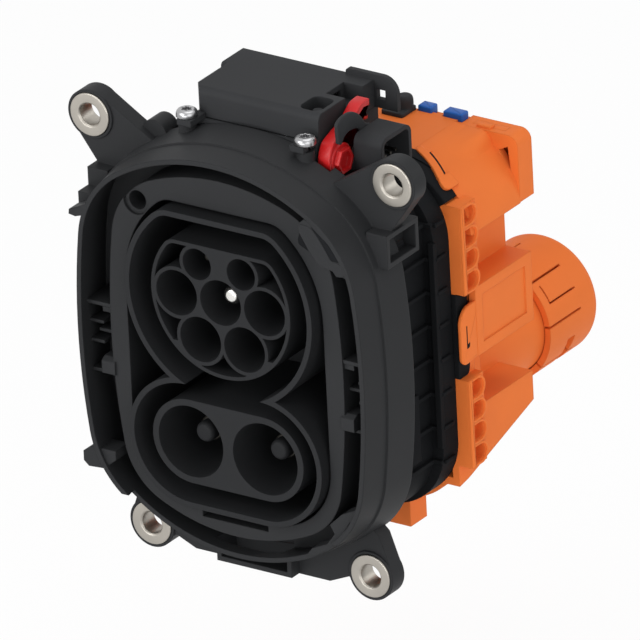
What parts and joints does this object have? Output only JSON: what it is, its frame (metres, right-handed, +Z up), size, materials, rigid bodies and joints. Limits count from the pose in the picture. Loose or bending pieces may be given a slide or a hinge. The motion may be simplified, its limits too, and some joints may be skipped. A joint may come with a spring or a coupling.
{
  "type": "charge port inlet",
  "caption": "Vehicle charging inlet with a round contact part above a two-pin direct-current part, a flange with four ears, a lock actuator and a cable cover.",
  "frame": {"origin": "axis of the protective earth contact on the front face of the contact carriers", "axes": "+Z up, -Y towards the plug, +X to the right seen from the plug's side"},
  "size_m": [0.126, 0.1455, 0.1555],
  "materials": {
    "housing_black": "fine-grained moulded black plastic",
    "insert_black": "smooth moulded black plastic",
    "frame_black": "moulded black plastic",
    "actuator_black": "moulded dark grey plastic",
    "cover_orange": "moulded orange plastic",
    "lever_red": "moulded red plastic",
    "lock_blue": "moulded blue plastic",
    "sleeve_steel": "nickel-plated turned steel",
    "screw_steel": "bright plated steel",
    "machined_steel": "machined steel",
    "motor_steel": "drawn steel can",
    "bright_contact": "silver-plated",
    "dull_contact": "plated copper alloy",
    "seal_rubber": "black silicone rubber",
    "board_green": "solder-masked board"
  },
  "bodies": {
    "housing": {"flange_housing": "housing_black", "socket_collar": "insert_black", "socket_body": "insert_black", "ac_contact_carrier": "insert_black", "dc_contact_carrier": "insert_black", "pe_contact": "bright_contact", "cp_contact": "dull_contact", "pp_contact": "dull_contact", "dc_plus_contact": "dull_contact", "dc_minus_contact": "dull_contact", "dc_plus_tip_cap": "insert_black", "dc_minus_tip_cap": "insert_black", "contact_retainer": "insert_black", "sensor_board": "board_green", "rear_frame": "frame_black", "cover_seal": "seal_rubber", "rear_cover": "cover_orange", "right_gland_cap": "cover_orange", "left_gland_cap": "cover_orange", "right_cable_seal": "seal_rubber", "left_cable_seal": "seal_rubber", "actuator_base": "actuator_black", "actuator_cover": "actuator_black", "actuator_screws": "screw_steel", "lock_motor": "motor_steel", "lever_guard": "actuator_black", "actuator_plug_hood": "actuator_black", "hood_contacts": "bright_contact", "lock_base": "actuator_black", "upper_left_sleeve": "sleeve_steel", "upper_right_sleeve": "sleeve_steel", "lower_left_sleeve": "sleeve_steel", "lower_right_sleeve": "sleeve_steel"},
    "release_lever": {"release_lever": "lever_red", "crank_shaft": "machined_steel"},
    "locking_pin": {"locking_pin": "machined_steel"},
    "worm": {"worm_shaft": "machined_steel"},
    "inner_lock": {"inner_position_lock": "lock_blue"},
    "outer_lock": {"outer_position_lock": "lock_blue"}
  },
  "joints": [
    {"name": "release_lever_turn", "type": "hinge", "parent": "housing", "child": "release_lever", "pos_m": [0.026, 0.0265, 0.043], "axis": [1, 0, 0], "range_deg": [0, 50]},
    {"name": "locking_pin_slide", "type": "slide", "parent": "housing", "child": "locking_pin", "axis": [0, 0, 1], "range_m": [0, 0.0068]},
    {"name": "worm_turn", "type": "hinge", "parent": "housing", "child": "worm", "pos_m": [0.009, 0.03, 0.04985], "axis": [0, 1, 0], "range_deg": [0, 700]},
    {"name": "inner_lock_slide", "type": "slide", "parent": "housing", "child": "inner_lock", "axis": [0, 1, 0], "range_m": [0, 0.003]},
    {"name": "outer_lock_slide", "type": "slide", "parent": "housing", "child": "outer_lock", "axis": [0, 1, 0], "range_m": [0, 0.003]}
  ],
  "couplings": [
    {"joint": "locking_pin_slide", "follows": "release_lever_turn", "m_per_rad": 0.0077486},
    {"joint": "worm_turn", "follows": "release_lever_turn", "ratio": 14}
  ]
}
